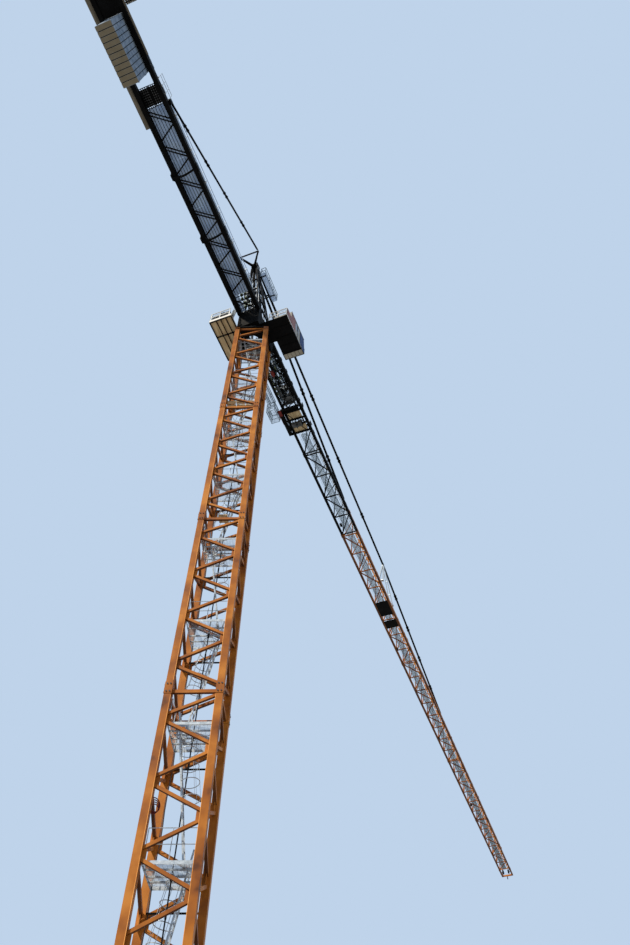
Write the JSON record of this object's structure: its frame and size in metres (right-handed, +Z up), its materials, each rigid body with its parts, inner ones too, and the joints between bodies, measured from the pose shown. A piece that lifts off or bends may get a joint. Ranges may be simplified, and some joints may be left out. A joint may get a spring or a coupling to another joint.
{
  "type": "tower crane, 1:10 scale model",
  "caption": "Top-slewing tower crane on a square lattice mast, with an A-frame head, tied lattice jib, ballasted counter-jib, cab and trolley; 1:10 scale model.",
  "frame": {"origin": "on the ground at the mast's axis, in the flat underside of the base frame", "axes": "+Z up, +X out along the jib at rest, +Y to the left of the jib"},
  "size_m": [11.17, 0.531, 6.075],
  "materials": {
    "orange_paint": "satin enamel",
    "dark_paint": "satin enamel",
    "galvanised_steel": "hot-dip galvanised",
    "machine_steel": "machined and oiled",
    "cab_paint": "gloss enamel",
    "window_glass": "tinted",
    "cast_concrete": "cast concrete",
    "deck_timber": "weathered plywood",
    "cable_rubber": "matt",
    "cabinet_paint": "satin enamel"
  },
  "bodies": {
    "tower": {"base_frame": "orange_paint", "mast_section_1": "orange_paint", "mast_section_2": "orange_paint", "mast_section_3": "orange_paint", "mast_section_4": "orange_paint", "mast_section_5": "orange_paint", "mast_landings": "galvanised_steel", "mast_ladders": "galvanised_steel", "supply_cable": "cable_rubber", "ring_support": "dark_paint"},
    "upper_works": {"slewing_ring": "machine_steel", "slewing_deck": "dark_paint", "slew_motors": "machine_steel", "side_frames": "dark_paint", "cab_shell": "cab_paint", "cab_glass": "window_glass", "service_deck": "deck_timber", "switch_cabinets": "cabinet_paint", "handrails": "galvanised_steel", "head_frame": "dark_paint", "head_yoke": "dark_paint", "head_ladder": "galvanised_steel", "head_platform": "galvanised_steel", "counter_frame": "dark_paint", "counter_walkway": "galvanised_steel", "winch_platform": "dark_paint", "hoist_winch": "machine_steel", "ballast_slabs": "cast_concrete", "side_walkway": "deck_timber", "counter_ties": "dark_paint", "jib_section_1": "dark_paint", "jib_section_2": "dark_paint", "jib_section_3": "orange_paint", "jib_section_4": "orange_paint", "jib_section_5": "orange_paint", "jib_section_6": "orange_paint", "jib_nose": "orange_paint", "jib_sheaves": "machine_steel", "jib_walkway": "galvanised_steel", "jib_plates": "dark_paint", "jib_ties": "dark_paint", "king_post": "galvanised_steel", "trolley_winch": "machine_steel"},
    "trolley": {"trolley_frame": "dark_paint", "trolley_wheels": "machine_steel", "trolley_panels": "deck_timber", "trolley_basket": "galvanised_steel", "hook_block": "machine_steel"}
  },
  "joints": [
    {"name": "slew", "type": "hinge", "parent": "tower", "child": "upper_works", "pos_m": [0, 0, 5.06], "axis": [0, 0, 1], "continuous": true},
    {"name": "trolley_travel", "type": "slide", "parent": "upper_works", "child": "trolley", "axis": [1, 0, 0], "range_m": [-0.33, 7.7]}
  ]
}
